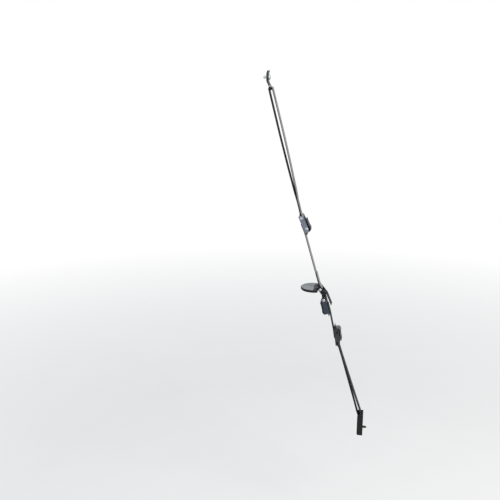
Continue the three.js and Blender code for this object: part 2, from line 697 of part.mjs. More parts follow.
function tvBracket() {
  const half = TAB_WALL / 2;
  const end = {
    x: barCentre.x + (END_BAR / 2) * Math.sin(slope),
    z: barCentre.z - (END_BAR / 2) * Math.cos(slope),
  };
  const normal = { x: Math.cos(slope) * half, z: Math.sin(slope) * half };
  const bendShift = half * Math.tan(slope / 2);
  const side = rounded(
    [
      [tabBend.x - half + TAB_LIP_LEAN, tabTop + TAB_LIP_RISE],
      [tabBend.x - half, tabTop, TAB_WALL],
      [tabBend.x - half, tabBend.z + bendShift, TAB_WALL],
      [end.x - normal.x, end.z - normal.z],
      [end.x + normal.x, end.z + normal.z],
      [tabBend.x + half, tabBend.z - bendShift, 2 * TAB_WALL],
      [tabBend.x + half, tabTop, TAB_WALL],
      [tabBend.x + half + TAB_LIP_LEAN, tabTop + TAB_LIP_RISE],
    ],
    true,
  );
  const reach = TAB_SLOPE;
  const face = rounded(
    [
      [-tabWidth / 2, end.z - TAB_WALL],
      [tabWidth / 2, end.z - TAB_WALL],
      [tabWidth / 2, tabTop + TAB_LIP_RISE, TAB_CORNER],
      [-tabWidth / 2, tabTop + TAB_LIP_RISE, TAB_CORNER],
    ],
    true,
  );
  const faceShape = new THREE.Shape(face);
  const faceGeometry = new THREE.ExtrudeGeometry(faceShape, { depth: 4 * reach, bevelEnabled: false });
  faceGeometry.rotateX(Math.PI / 2);
  faceGeometry.rotateZ(Math.PI / 2);
  faceGeometry.translate(tabBend.x - reach, 0, 0);
  const slotHalf = innerWidth / 2 - SEAT_GAP;
  const slotGeometry = new THREE.BoxGeometry(4 * TAB_WALL, 2 * slotHalf, TAB_SLOT);
  slotGeometry.rotateY(-slope);
  const slotOffset = (END_BAR + TAB_SLOT) / 2;
  // The bar is rounded, so that it fills the loop's end
  const bar = turnedAlongY(
    [[0, -slotHalf], [barReach, -slotHalf], [barReach, slotHalf], [0, slotHalf]],
    TV_LOOP_TOP.x, TV_LOOP_TOP.z,
  );
  const slotX = barCentre.x - slotOffset * Math.sin(slope);
  const slotZ = barCentre.z + slotOffset * Math.cos(slope);
  slotGeometry.translate(slotX, 0, slotZ);
  return slab(side, tabWidth)
    .intersect(solid(faceGeometry))
    .subtract(solid(slotGeometry))
    .add(bar)
    .subtract(screwHole(tabBend.x, tvScrewZ, TV_SCREW_DIAMETER));
}

addPiece(strap, "tv_bracket", tvBracket(), blackSteel);
const tvWasherX = tabBend.x + TAB_WALL / 2 + SEAT_GAP;
addPiece(strap, "tv_washer", washer(tvWasherX, tvScrewZ, TV_SCREW_DIAMETER, 1), brightSteel);
const tvScrewX = tvWasherX + WASHER_THICKNESS + SEAT_GAP;
addPiece(strap, "tv_screw", screw(tvScrewX, tvScrewZ, TV_SCREW_DIAMETER, TV_SCREW_LENGTH, -1), brightSteel);

// Lower bracket: a channel with a flat back and the loop's pin near its top
const wallTop = WALL_LOOP_END.z + WALL_PIN_DROP;
const wallBottom = wallTop - WALL_BRACKET_HEIGHT;
const wallFront = WALL_LOOP_END.x - WALL_PIN_DROP + SEAT_GAP;
const wallBack = wallFront + WALL_BRACKET_DEPTH;
const wallScrewZ = wallBottom + WALL_SCREW_RISE;

function wallBracket() {
  const cheek = rounded(
    [
      [wallBack, wallBottom],
      [wallBack, wallTop],
      [wallFront, wallTop, WALL_BRACKET_CORNER],
      [wallFront, wallBottom, WALL_BRACKET_CORNER],
    ],
    true,
  );
  const cheekY = (innerWidth + WALL_BRACKET_WALL) / 2;
  const half = innerWidth / 2 + WALL_BRACKET_WALL / 2;
  const back = box(wallBack - WALL_BRACKET_WALL, wallBack, -half, half, wallBottom, wallTop);
  const outerHalf = innerWidth / 2 + WALL_BRACKET_WALL;
  const ribZ = (wallTop + wallBottom) / 2;
  const ribs = [-1, 1].map((side) => box(
    wallFront + RIB_PROUD, wallBack - RIB_PROUD,
    side > 0 ? outerHalf - RIB_PROUD : -outerHalf - RIB_PROUD,
    side > 0 ? outerHalf + RIB_PROUD : -outerHalf + RIB_PROUD,
    ribZ - RIB_HEIGHT / 2, ribZ + RIB_HEIGHT / 2,
  ));
  const cheeks = [-cheekY, cheekY].map((y) => slab(cheek, WALL_BRACKET_WALL, y));
  return joined([...cheeks, back, ...ribs])
    .subtract(pinHole(WALL_LOOP_END.x, WALL_LOOP_END.z, PIN_DIAMETER + 2 * SEAT_GAP))
    .subtract(screwHole(wallBack, wallScrewZ, WALL_SCREW_DIAMETER));
}

addPiece(strap, "wall_bracket", wallBracket(), blackSteel);
const wallBracketWidth = innerWidth + 2 * WALL_BRACKET_WALL;
const wallPin = rivetedPin(WALL_LOOP_END.x, WALL_LOOP_END.z, wallBracketWidth);
addPiece(strap, "wall_bracket_pin", wallPin, blackSteel);
const wallWasherX = wallBack - WALL_BRACKET_WALL - SEAT_GAP;
addPiece(strap, "wall_washer", washer(wallWasherX, wallScrewZ, WALL_SCREW_DIAMETER, -1), brightSteel);
const wallScrewX = wallWasherX - WASHER_THICKNESS - SEAT_GAP;
const wallScrew = screw(wallScrewX, wallScrewZ, WALL_SCREW_DIAMETER, WALL_SCREW_LENGTH, 1);
addPiece(strap, "wall_screw", wallScrew, blackSteel);

export default strap;
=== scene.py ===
import json
import math
import bpy
from mathutils import Matrix, Vector


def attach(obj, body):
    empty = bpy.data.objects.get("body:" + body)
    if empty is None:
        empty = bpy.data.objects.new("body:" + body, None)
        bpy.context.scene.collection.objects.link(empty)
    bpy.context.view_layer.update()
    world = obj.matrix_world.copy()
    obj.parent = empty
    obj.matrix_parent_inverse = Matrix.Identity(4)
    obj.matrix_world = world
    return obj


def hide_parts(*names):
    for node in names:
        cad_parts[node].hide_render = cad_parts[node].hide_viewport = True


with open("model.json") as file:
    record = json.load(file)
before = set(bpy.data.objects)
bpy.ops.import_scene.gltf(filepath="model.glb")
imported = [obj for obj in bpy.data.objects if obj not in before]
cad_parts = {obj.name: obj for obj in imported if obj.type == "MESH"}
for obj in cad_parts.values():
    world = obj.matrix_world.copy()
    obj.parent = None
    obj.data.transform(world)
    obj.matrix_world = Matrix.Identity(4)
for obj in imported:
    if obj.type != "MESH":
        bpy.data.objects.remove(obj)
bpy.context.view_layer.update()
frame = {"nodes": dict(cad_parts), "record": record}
bodyOfNode = {node: body for body, nodes in frame["record"]["behaviour"]["bodies"].items() for node in nodes}
mm = 0.001


# Small helpers

def linear(hexColour):
    channels = [int(hexColour[i:i + 2], 16) / 255 for i in (1, 3, 5)]
    return [c / 12.92 if c <= 0.04045 else ((c + 0.055) / 1.055) ** 2.4 for c in channels] + [1.0]


def addNode(material, kind, settings=None, links=None):
    # A setting is a socket's value or else one of the node's own. A link from a node takes its first output.
    node = material.node_tree.nodes.new(kind)
    for name, value in (settings or {}).items():
        if isinstance(name, int) or name in node.inputs:
            node.inputs[name].default_value = value
        else:
            setattr(node, name, value)
    for socket, source in (links or {}).items():
        output = source.outputs[0] if isinstance(source, bpy.types.Node) else source
        material.node_tree.links.new(output, node.inputs[socket])
    return node


def newMaterial(name):
    material = bpy.data.materials.new(name)
    material.use_nodes = True
    material.node_tree.nodes.clear()
    return material


def deselectAll():
    if bpy.context.object and bpy.context.object.mode != "OBJECT":
        bpy.ops.object.mode_set(mode="OBJECT")
    bpy.ops.object.select_all(action="DESELECT")


def selectOnly(*objects):
    deselectAll()
    for obj in objects:
        obj.select_set(True)
    bpy.context.view_layer.objects.active = objects[0]


def applyAll(obj):
    selectOnly(obj)
    for modifier in list(obj.modifiers):
        bpy.ops.object.modifier_apply(modifier=modifier.name)
    bpy.ops.object.transform_apply(location=True, rotation=True, scale=True)


def finishPiece(obj, node):
    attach(obj, bodyOfNode[node])
    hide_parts(node)


# Camera and light

view = {
    "place": (0.1282, -1.460, 0.480),
    "turn": (74.97, 0, 10.47),
    "lens": 50.4,
}

cameraData = bpy.data.cameras.new("camera")
cameraData.lens = view["lens"]
cameraData.sensor_width = 36
camera = bpy.data.objects.new("camera", cameraData)
camera.location = view["place"]
camera.rotation_euler = [math.radians(a) for a in view["turn"]]
bpy.context.scene.collection.objects.link(camera)
bpy.context.scene.camera = camera
bpy.context.scene.view_settings.view_transform = "Standard"

studio = {
    "worldLight": 0.82,
    "worldColour": "#eef1f6",
    "lamps": [  # name, place, aim, size, watts, colour
        ("window", (1.6, -0.9, 1.2), (0, 0, 0.05), 1.2, 24, "#fffaf3"),
        ("fill", (-1.6, -1.3, 0.9), (0, 0, 0.0), 1.6, 6, "#eef4ff"),
    ],
}

world = bpy.data.worlds.new("studio")
world.use_nodes = True
bpy.context.scene.world = world
world.node_tree.nodes.clear()
softLight = addNode(world, "ShaderNodeBackground",
                    {"Color": linear(studio["worldColour"]), "Strength": studio["worldLight"]})
whiteBack = addNode(world, "ShaderNodeBackground", {"Color": linear("#ffffff"), "Strength": 1.0})
rays = addNode(world, "ShaderNodeLightPath")
seenOrThrough = addNode(world, "ShaderNodeMath", {"operation": "MAXIMUM"},
                        {0: rays.outputs["Is Camera Ray"], 1: rays.outputs["Is Transmission Ray"]})
seen = addNode(world, "ShaderNodeMath", {"operation": "MAXIMUM"},
               {0: seenOrThrough, 1: rays.outputs["Is Glossy Ray"]})
skyMix = addNode(world, "ShaderNodeMixShader", None, {0: seen, 1: softLight, 2: whiteBack})
addNode(world, "ShaderNodeOutputWorld", None, {"Surface": skyMix})

for name, place, aim, size, watts, colour in studio["lamps"]:
    lampData = bpy.data.lights.new(name, "AREA")
    lampData.size = size
    lampData.energy = watts
    lampData.color = linear(colour)[:3]
    lamp = bpy.data.objects.new(name, lampData)
    lamp.location = place
    lamp.rotation_euler = (Vector(aim) - Vector(place)).to_track_quat("-Z", "Y").to_euler()
    bpy.context.scene.collection.objects.link(lamp)
print("camera and light ready")


# Floor

floorShape = {
    "height": -0.54,
    "size": 14,
    "colours": ("#f1f1ef", "#eeeeec"),
    "grain": 111.1 * mm,
    "fadeFrom": 0.7,
    "fadeTo": 2.4,
}

deselectAll()
bpy.ops.mesh.primitive_plane_add(size=floorShape["size"], location=(0, 0, floorShape["height"]))
floor = bpy.context.object
floor.name = "floor"

# Matt paint on a level floor: nearly even, and it fades into the white background
paleFloor = newMaterial("paleFloor")
where = addNode(paleFloor, "ShaderNodeTexCoord")
grain = addNode(paleFloor, "ShaderNodeTexNoise", {"Scale": 1 / floorShape["grain"], "Detail": 3.0},
                {"Vector": where.outputs["Object"]})
tint = addNode(paleFloor, "ShaderNodeMix",
               {"data_type": "RGBA", 6: linear(floorShape["colours"][0]), 7: linear(floorShape["colours"][1])},
               {0: grain})
surface = addNode(paleFloor, "ShaderNodeBsdfPrincipled", {"Roughness": 0.9, "Specular IOR Level": 0.1},
                  {"Base Color": tint.outputs[2]})
reach = addNode(paleFloor, "ShaderNodeVectorMath", {"operation": "LENGTH"}, {0: where.outputs["Object"]})
fade = addNode(paleFloor, "ShaderNodeMapRange",
               {"From Min": floorShape["fadeFrom"], "From Max": floorShape["fadeTo"]},
               {"Value": reach.outputs["Value"]})
floorRays = addNode(paleFloor, "ShaderNodeLightPath")
fading = addNode(paleFloor, "ShaderNodeMath", {"operation": "MULTIPLY"},
                 {0: fade, 1: floorRays.outputs["Is Camera Ray"]})
glow = addNode(paleFloor, "ShaderNodeEmission", {"Color": linear("#ffffff"), "Strength": 1.0})
floorMix = addNode(paleFloor, "ShaderNodeMixShader", None, {0: fading, 1: surface, 2: glow})
addNode(paleFloor, "ShaderNodeOutputMaterial", None, {"Surface": floorMix})
floor.data.materials.append(paleFloor)


# Materials of the webbing

webbing = {
    "width": 20 * mm,
    "thickness": 1.5 * mm,
    "gap": 0.3 * mm,  # between the webbing and the metal that it passes
    "pin": 2 * mm,
    "eyeTaper": 3.4,  # in eye radii, from the pin to where the two layers meet
    "sewn": 26 * mm,
    "sink": 0.06 * mm,  # how far a sewn layer presses into the other
    "faceLength": 1.5 * mm,
    "facesAcross": 10,
    "pathStep": 0.8 * mm,
    "edge": 0.5 * mm,
    "roundness": 0.98,  # a full round end would be 1
    "farRoundness": 0.95,
    "sweep": 6,  # a loop's long curves have a sixth of its length as their radius
}
webbingFinish = {
    "yarn": 1.3 * mm,  # real yarns are 0.6 mm wide, drawn twice as coarse so that the weave shows
    "fuzz": 1.111 * mm,
    "blotch": 22.22 * mm,
    "blotchLift": 0.35,
    "fuzzHeight": 0.3,
    "selvedge": 1.6 * mm,
    "relief": 0.25 * mm,
    "threadTwist": 0.6667 * mm,
    "threadRelief": 0.1 * mm,
}


def wovenNylon(name, dark, light, edge, sheen):
    # Polyamide webbing in a plain weave: matt, with a soft sheen on the yarns and a paler, fuzzier selvedge
    material = newMaterial(name)
    half = webbing["width"] / 2
    turns = math.pi / webbingFinish["yarn"]
    where = addNode(material, "ShaderNodeTexCoord")
    place = addNode(material, "ShaderNodeSeparateXYZ", None, {0: where.outputs["UV"]})
    acrossTurns = addNode(material, "ShaderNodeMath", {"operation": "MULTIPLY", 1: turns},
                          {0: place.outputs["X"]})
    alongTurns = addNode(material, "ShaderNodeMath", {"operation": "MULTIPLY", 1: turns},
                         {0: place.outputs["Y"]})
    warp = addNode(material, "ShaderNodeMath", {"operation": "SINE"}, {0: acrossTurns})
    weft = addNode(material, "ShaderNodeMath", {"operation": "SINE"}, {0: alongTurns})
    crossing = addNode(material, "ShaderNodeMath", {"operation": "MULTIPLY"}, {0: warp, 1: weft})
    over = addNode(material, "ShaderNodeMath", {"operation": "GREATER_THAN", 1: 0}, {0: crossing})
    warpHigh = addNode(material, "ShaderNodeMath", {"operation": "ABSOLUTE"}, {0: warp})
    weftHigh = addNode(material, "ShaderNodeMath", {"operation": "ABSOLUTE"}, {0: weft})
    weave = addNode(material, "ShaderNodeMix", {"data_type": "FLOAT"}, {0: over, 2: warpHigh, 3: weftHigh})
    fuzz = addNode(material, "ShaderNodeTexNoise", {"Scale": 1 / webbingFinish["fuzz"], "Detail": 2.0},
                   {"Vector": where.outputs["Object"]})
    blotch = addNode(material, "ShaderNodeTexNoise", {"Scale": 1 / webbingFinish["blotch"], "Detail": 3.0},
                     {"Vector": where.outputs["Object"]})
    lifted = addNode(material, "ShaderNodeMath", {"operation": "ADD", 1: webbingFinish["blotchLift"]},
                     {0: blotch})
    # The crowns of the yarns are painted lighter and the hollows between them darker, from the same height as
    # the bump: painted shade of the weave, toned at random by the blotches
    shade = addNode(material, "ShaderNodeMath", {"operation": "MULTIPLY"}, {0: weave, 1: lifted})
    colour = addNode(material, "ShaderNodeMix", {"data_type": "RGBA", 6: linear(dark), 7: linear(light)},
                     {0: shade})
    fromMiddle = addNode(material, "ShaderNodeMath", {"operation": "SUBTRACT", 1: half},
                         {0: place.outputs["X"]})
    offset = addNode(material, "ShaderNodeMath", {"operation": "ABSOLUTE"}, {0: fromMiddle})
    selvedge = addNode(material, "ShaderNodeMapRange",
                       {"From Min": half - webbingFinish["selvedge"], "From Max": half}, {"Value": offset})
    worn = addNode(material, "ShaderNodeMath", {"operation": "MULTIPLY"}, {0: selvedge, 1: fuzz})
    edged = addNode(material, "ShaderNodeMix", {"data_type": "RGBA", 7: linear(edge)},
                    {0: worn, 6: colour.outputs[2]})
    fuzzHeight = addNode(material, "ShaderNodeMath", {"operation": "MULTIPLY", 1: webbingFinish["fuzzHeight"]},
                         {0: fuzz})
    height = addNode(material, "ShaderNodeMath", {"operation": "ADD"}, {0: weave, 1: fuzzHeight})
    relief = addNode(material, "ShaderNodeBump", {"Strength": 0.7, "Distance": webbingFinish["relief"]},
                     {"Height": height})
    shader = addNode(material, "ShaderNodeBsdfPrincipled",
                     {"Roughness": 0.78, "IOR": 1.53, "Specular IOR Level": 0.2,
                      "Sheen Weight": sheen, "Sheen Roughness": 0.45},
                     {"Base Color": edged.outputs[2], "Normal": relief})
    addNode(material, "ShaderNodeOutputMaterial", None, {"Surface": shader})
    return material


def sewingThread():
    # Bonded nylon thread: a little brighter and smoother than the webbing, with a fine twist
    material = newMaterial("sewingThread")
    where = addNode(material, "ShaderNodeTexCoord")
    twist = addNode(material, "ShaderNodeTexNoise", {"Scale": 1 / webbingFinish["threadTwist"], "Detail": 1.0},
                    {"Vector": where.outputs["Object"]})
    colour = addNode(material, "ShaderNodeMix",
                     {"data_type": "RGBA", 6: linear("#2b2d31"), 7: linear("#595c62")},
                     {0: twist})
    relief = addNode(material, "ShaderNodeBump", {"Strength": 0.5, "Distance": webbingFinish["threadRelief"]},
                     {"Height": twist})
    shader = addNode(material, "ShaderNodeBsdfPrincipled", {"Roughness": 0.5, "IOR": 1.53},
                     {"Base Color": colour.outputs[2], "Normal": relief})
    addNode(material, "ShaderNodeOutputMaterial", None, {"Surface": shader})
    return material


# Materials of the metal and plastic pieces

coatFinish = {
    "peel": 1.538 * mm,
    "tone": 14.286 * mm,
    "scuff": 4.1667 * mm,
    "edge": 0.5 * mm,
    "edgeTurn": (0.03, 0.22),  # how far the rounded normal leaves the flat one
    "edgeWear": 0.9,
    "scuffRange": (0.48, 0.62),
    "roughSpread": (-0.06, 0.08),
    "relief": 0.1 * mm,
}


def powderCoat(name, deep, pale, bare, roughness, gloss):
    # Powder coat on pressed steel: a faint orange peel, a little variation in tone, and worn bright edges
    material = newMaterial(name)
    where = addNode(material, "ShaderNodeTexCoord")
    peel = addNode(material, "ShaderNodeTexNoise", {"Scale": 1 / coatFinish["peel"], "Detail": 2.0},
                   {"Vector": where.outputs["Object"]})
    tone = addNode(material, "ShaderNodeTexNoise", {"Scale": 1 / coatFinish["tone"], "Detail": 4.0},
                   {"Vector": where.outputs["Object"]})
    colour = addNode(material, "ShaderNodeMix", {"data_type": "RGBA", 6: linear(deep), 7: linear(pale)},
                     {0: tone})
    roundNormal = addNode(material, "ShaderNodeBevel", {"Radius": coatFinish["edge"], "samples": 6})
    flat = addNode(material, "ShaderNodeNewGeometry")
    same = addNode(material, "ShaderNodeVectorMath", {"operation": "DOT_PRODUCT"},
                   {0: roundNormal, 1: flat.outputs["Normal"]})
    turned = addNode(material, "ShaderNodeMath", {"operation": "SUBTRACT", 0: 1.0}, {1: same.outputs["Value"]})
    edge = addNode(material, "ShaderNodeMapRange",
                   {"From Min": coatFinish["edgeTurn"][0], "From Max": coatFinish["edgeTurn"][1],
                    "To Max": coatFinish["edgeWear"]}, {"Value": turned})
    scuff = addNode(material, "ShaderNodeTexNoise", {"Scale": 1 / coatFinish["scuff"], "Detail": 4.0},
                    {"Vector": where.outputs["Object"]})
    scuffed = addNode(material, "ShaderNodeMapRange",
                      {"From Min": coatFinish["scuffRange"][0], "From Max": coatFinish["scuffRange"][1]},
                      {"Value": scuff})
    wear = addNode(material, "ShaderNodeMath", {"operation": "MULTIPLY"}, {0: edge, 1: scuffed})
    worn = addNode(material, "ShaderNodeMix", {"data_type": "RGBA", 7: linear(bare)},
                   {0: wear, 6: colour.outputs[2]})
    rough = addNode(material, "ShaderNodeMapRange",
                    {"To Min": roughness + coatFinish["roughSpread"][0],
                     "To Max": roughness + coatFinish["roughSpread"][1]}, {"Value": tone})
    relief = addNode(material, "ShaderNodeBump", {"Strength": 0.25, "Distance": coatFinish["relief"]},
                     {"Height": peel})
    shader = addNode(material, "ShaderNodeBsdfPrincipled", {"IOR": 1.5, "Specular IOR Level": gloss},
                     {"Base Color": worn.outputs[2], "Metallic": wear, "Roughness": rough, "Normal": relief})
    addNode(material, "ShaderNodeOutputMaterial", None, {"Surface": shader})
    return material


zincFinish = {
    "mottle": 2.381 * mm,
    "rough": (0.2, 0.36),
    "relief": 0.05 * mm,
}


def zincPlate():
    # Zinc plated steel: bright and slightly mottled
    material = newMaterial("zincPlate")
    where = addNode(material, "ShaderNodeTexCoord")
    mottle = addNode(material, "ShaderNodeTexNoise", {"Scale": 1 / zincFinish["mottle"], "Detail": 3.0},
                     {"Vector": where.outputs["Object"]})
    colour = addNode(material, "ShaderNodeMix",
                     {"data_type": "RGBA", 6: linear("#a9adb2"), 7: linear("#d9dcde")},
                     {0: mottle})
    rough = addNode(material, "ShaderNodeMapRange",
                    {"To Min": zincFinish["rough"][0], "To Max": zincFinish["rough"][1]}, {"Value": mottle})
    relief = addNode(material, "ShaderNodeBump", {"Strength": 0.15, "Distance": zincFinish["relief"]},
                     {"Height": mottle})
    shader = addNode(material, "ShaderNodeBsdfPrincipled", {"Metallic": 1.0},
                     {"Base Color": colour.outputs[2], "Roughness": rough, "Normal": relief})
    addNode(material, "ShaderNodeOutputMaterial", None, {"Surface": shader})
    return material


coverFinish = {
    "grain": 0.7143 * mm,
    "tone": 16.667 * mm,
    "rough": (0.4, 0.6),
    "relief": 0.05 * mm,
}


def satinCover():
    # Moulded ABS with a fine spark-eroded grain: a satin grey
    material = newMaterial("satinCover")
    where = addNode(material, "ShaderNodeTexCoord")
    grain = addNode(material, "ShaderNodeTexNoise", {"Scale": 1 / coverFinish["grain"], "Detail": 2.0},
                    {"Vector": where.outputs["Object"]})
    tone = addNode(material, "ShaderNodeTexNoise", {"Scale": 1 / coverFinish["tone"], "Detail": 3.0},
                   {"Vector": where.outputs["Object"]})
    colour = addNode(material, "ShaderNodeMix",
                     {"data_type": "RGBA", 6: linear("#7b7f82"), 7: linear("#8b8f93")},
                     {0: tone})
    rough = addNode(material, "ShaderNodeMapRange",
                    {"To Min": coverFinish["rough"][0], "To Max": coverFinish["rough"][1]}, {"Value": grain})
    relief = addNode(material, "ShaderNodeBump", {"Strength": 0.3, "Distance": coverFinish["relief"]},
                     {"Height": grain})
    shader = addNode(material, "ShaderNodeBsdfPrincipled", {"IOR": 1.54},
                     {"Base Color": colour.outputs[2], "Roughness": rough, "Normal": relief})
    addNode(material, "ShaderNodeOutputMaterial", None, {"Surface": shader})
    return material


foamFinish = {
    "cell": 0.5556 * mm,
    "relief": 0.2 * mm,
}


def foamTape():
    # Closed cell foam tape: matt, with open cells at its cut edge
    material = newMaterial("foamTape")
    where = addNode(material, "ShaderNodeTexCoord")
    cells = addNode(material, "ShaderNodeTexVoronoi", {"Scale": 1 / foamFinish["cell"]},
                    {"Vector": where.outputs["Object"]})
    # The cells' hollows are painted darker and their rims paler, from the same height as the bump: painted
    # shade in the cells
    colour = addNode(material, "ShaderNodeMix",
                     {"data_type": "RGBA", 6: linear("#1b1b1b"), 7: linear("#3a3a3a")},
                     {0: cells.outputs["Distance"]})
    relief = addNode(material, "ShaderNodeBump", {"Strength": 0.6, "Distance": foamFinish["relief"]},
                     {"Height": cells.outputs["Distance"]})
    shader = addNode(material, "ShaderNodeBsdfPrincipled", {"Roughness": 0.95},
                     {"Base Color": colour.outputs[2], "Normal": relief})
    addNode(material, "ShaderNodeOutputMaterial", None, {"Surface": shader})
    return material


# Webbing: tone of the weave's hollows, tone of its crowns (painted shade of the weave), selvedge, sheen.
# Coats: deep tone, pale tone, bare edge, roughness, gloss.
darkWebbing = wovenNylon("blackWovenNylon", "#08090a", "#1b1c1f", "#2b2d31", 0.05)
paintedLitWebbing = wovenNylon("paintedLitWovenNylon", "#5f5d61", "#918e92", "#55545a", 0.3)  # a lighter copy of the black webbing: painted light, for faces lit from the upper right
thread = sewingThread()
blackCoat = powderCoat("blackPowderCoat", "#0c0d0f", "#18191b", "#77797c", 0.42, 0.25)
# The same black coat for the lower buckle, glossier, with paler tones as painted highlights
glossyPaintedHighlightCoat = powderCoat("glossyBlackPowderCoatPaintedHighlight", "#1c1c1f", "#34343a", "#8d8f92", 0.28, 0.5)
# The buckle coat painted paler for the upper buckle: painted light, for the light that falls on it
paintedLitSlateCoat = powderCoat("paintedLitSlatePowderCoat", "#5f6473", "#7b8090", "#c3c6cb", 0.36, 0.5)
navyCoat = powderCoat("navyPowderCoat", "#252c37", "#3a424f", "#8b9097", 0.38, 0.35)
zinc = zincPlate()
cover = satinCover()
foam = foamTape()
print("materials ready")


# Webbing. A strip is made straight, as long as its path, sewn, and then bent along that path.

eyeRadius = webbing["pin"] + webbing["gap"] + webbing["thickness"] / 2
layerOffset = webbing["thickness"] / 2 - webbing["sink"]
nearEnd = eyeRadius * webbing["roundness"]
farEnd = eyeRadius * webbing["farRoundness"]


def roundedPath(corners):
    # Corners are (point, radius) pairs; each inner corner becomes an arc
    arcStep = math.radians(7)
    points = []
    for i, (corner, radius) in enumerate(corners):
        corner = Vector(corner)
        if radius == 0 or i in (0, len(corners) - 1):
            points.append(corner)
            continue
        into = (corner - Vector(corners[i - 1][0])).normalized()
        out = (Vector(corners[i + 1][0]) - corner).normalized()
        turn = math.atan2(into.cross(out), into.dot(out))
        start = corner - into * (radius * math.tan(abs(turn) / 2))
        centre = start + Vector((-into.y, into.x)) * math.copysign(radius, turn)
        steps = max(2, math.ceil(abs(turn) / arcStep))
        for k in range(steps + 1):
            points.append(centre + Matrix.Rotation(turn * k / steps, 2) @ (start - centre))
    kept = [points[0]]
    for point in points[1:]:
        if (point - kept[-1]).length > 0.01 * mm:
            kept.append(point)
    return kept


def evenly(points):
    # The same path with a point every so often, and its length
    lengths = [0]
    for a, b in zip(points, points[1:]):
        lengths.append(lengths[-1] + (b - a).length)
    count = round(lengths[-1] / webbing["pathStep"])
    result = []
    k = 0
    for i in range(count + 1):
        target = lengths[-1] * i / count
        while k < len(points) - 2 and lengths[k + 1] < target:
            k += 1
        share = (target - lengths[k]) / (lengths[k + 1] - lengths[k])
        result.append(points[k].lerp(points[k + 1], share))
    return result, lengths[-1]


def distanceTo(points, place):
    # How far along the path its point nearest to a place is
    travelled = 0
    best = (math.inf, 0)
    for a, b in zip(points, points[1:]):
        best = min(best, ((a - Vector(place)).length, travelled))
        travelled += (b - a).length
    return best[1]


stitching = {
    "pitch": 3.2 * mm,
    "rows": (-0.72, -0.24, 0.24, 0.72),  # in half widths of the webbing
    "stitch": (2.6 * mm, 0.45 * mm, 0.5 * mm),  # along, high, across
    "tack": (0.5 * mm, 0.45 * mm, 2.4 * mm),
    "tackRows": 5,  # to each side of the middle
    "tackSpacing": 0.16,  # in half widths
    "lift": 0.08 * mm,
    "inset": 1.5 * mm,  # from the ends of a sewn part
    "endInset": 2 * mm,  # from the cut end of the webbing
}


def sewnStitches(zones):
    # Rows of stitches along each sewn zone, and a bar tack across both of its ends
    half = webbing["width"] / 2
    lift = webbing["thickness"] / 2 + stitching["lift"]
    tackRows = stitching["tackRows"]
    places = []
    for start, end in zones:
        count = round((end - start) / stitching["pitch"])
        for row in stitching["rows"]:
            for i in range(count):
                places.append((start + (i + 0.5) * (end - start) / count, row * half, stitching["stitch"]))
        for along in (start, end):
            for i in range(-tackRows, tackRows + 1):
                places.append((along, i * half * stitching["tackSpacing"], stitching["tack"]))
    deselectAll()
    bpy.ops.mesh.primitive_uv_sphere_add(segments=8, ring_count=5, radius=0.5)
    seed = bpy.context.object
    seed.data.materials.append(thread)
    stitches = []
    for along, across, size in places:
        copy = bpy.data.objects.new("stitch", seed.data.copy())
        bpy.context.scene.collection.objects.link(copy)
        copy.location = (along, lift, across)
        copy.scale = size
        stitches.append(copy)
    bpy.data.objects.remove(seed)
    return stitches


def webbingStrip(name, corners, zones, node, inside, outside):
    path, length = evenly(roundedPath(corners))
    columns = max(8, round(length / webbing["faceLength"]))
    deselectAll()
    bpy.ops.mesh.primitive_grid_add(x_subdivisions=columns, y_subdivisions=webbing["facesAcross"], size=1)
    strip = bpy.context.object
    strip.name = name
    strip.data.name = name
    for corner in strip.data.uv_layers.active.data:
        along, across = corner.uv
        corner.uv = (across * webbing["width"], along * length)
    # Length along X, width along Z, thickness along Y
    strip.scale = (length, webbing["width"], 1)
    strip.location = (length / 2, 0, 0)
    strip.rotation_euler = (math.radians(90), 0, 0)
    bpy.ops.object.transform_apply(location=True, rotation=True, scale=True)
    wall = strip.modifiers.new("wall", "SOLIDIFY")
    wall.thickness = webbing["thickness"]
    wall.offset = 0
    wall.material_offset = 1  # the side to the left of the path
    wall.material_offset_rim = 2
    selvedge = strip.modifiers.new("selvedge", "BEVEL")
    selvedge.width = webbing["edge"]
    selvedge.segments = 3
    selvedge.limit_method = "ANGLE"
    selvedge.angle_limit = math.radians(60)
    for cloth in (inside, outside, darkWebbing):
        strip.data.materials.append(cloth)
    applyAll(strip)
    if zones:
        selectOnly(strip, *sewnStitches(zones))
        bpy.ops.object.join()
    guide = bpy.data.curves.new(name + "Path", "CURVE")
    guide.dimensions = "2D"
    guide.use_path = True
    spline = guide.splines.new("POLY")
    spline.points.add(len(path) - 1)
    for point, place in zip(spline.points, path):
        point.co = (place.x, place.y, 0, 1)
    guideObject = bpy.data.objects.new(name + "Path", guide)
    bpy.context.scene.collection.objects.link(guideObject)
    bend = strip.modifiers.new("bend", "CURVE")
    bend.object = guideObject
    bend.deform_axis = "POS_X"
    selectOnly(strip)
    bpy.ops.object.modifier_apply(modifier="bend")
    bpy.data.objects.remove(guideObject)
    strip.rotation_euler = (math.radians(90), 0, 0)
    bpy.ops.object.transform_apply(location=True, rotation=True, scale=True)
    bpy.ops.object.shade_smooth_by_angle(angle=math.radians(40))
    finishPiece(strip, node)
    print(name, "bent along", round(length / mm), "mm")


def between(start, end):
    # A function from places beside a line (along, across) to X and Z, and the line's length
    start, end = Vector(start), Vector(end)
    along = (end - start).normalized()
    across = Vector((-along.y, along.x))
    return lambda s, w: start + along * s + across * w, (end - start).length


